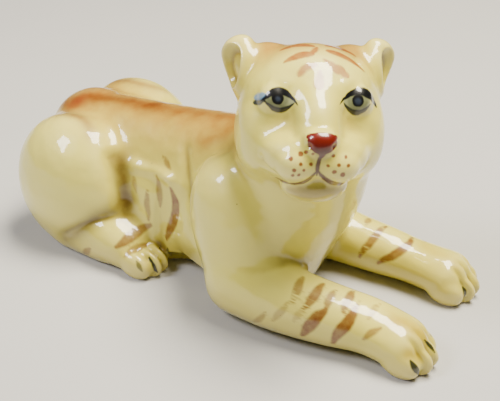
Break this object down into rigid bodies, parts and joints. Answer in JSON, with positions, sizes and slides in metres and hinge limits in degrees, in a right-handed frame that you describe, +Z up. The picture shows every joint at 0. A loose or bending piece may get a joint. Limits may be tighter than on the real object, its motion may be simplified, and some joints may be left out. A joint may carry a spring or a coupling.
{
  "type": "ceramic lioness figurine",
  "caption": "Small lying big cat in glazed, hand-painted china, head turned to its right, forelegs stretched forward, on a flat unglazed foot.",
  "frame": {"origin": "middle of the box's bottom face, on the plane that the figurine rests on", "axes": "+X forward along the body, from rump to forepaws; +Y to the animal's left; +Z up"},
  "size_m": [0.0912, 0.0448, 0.049],
  "materials": {
    "glazed_china": "clear gloss glaze over hand-painted colour"
  },
  "bodies": {
    "root": {"figurine": "glazed_china"}
  },
  "joints": []
}
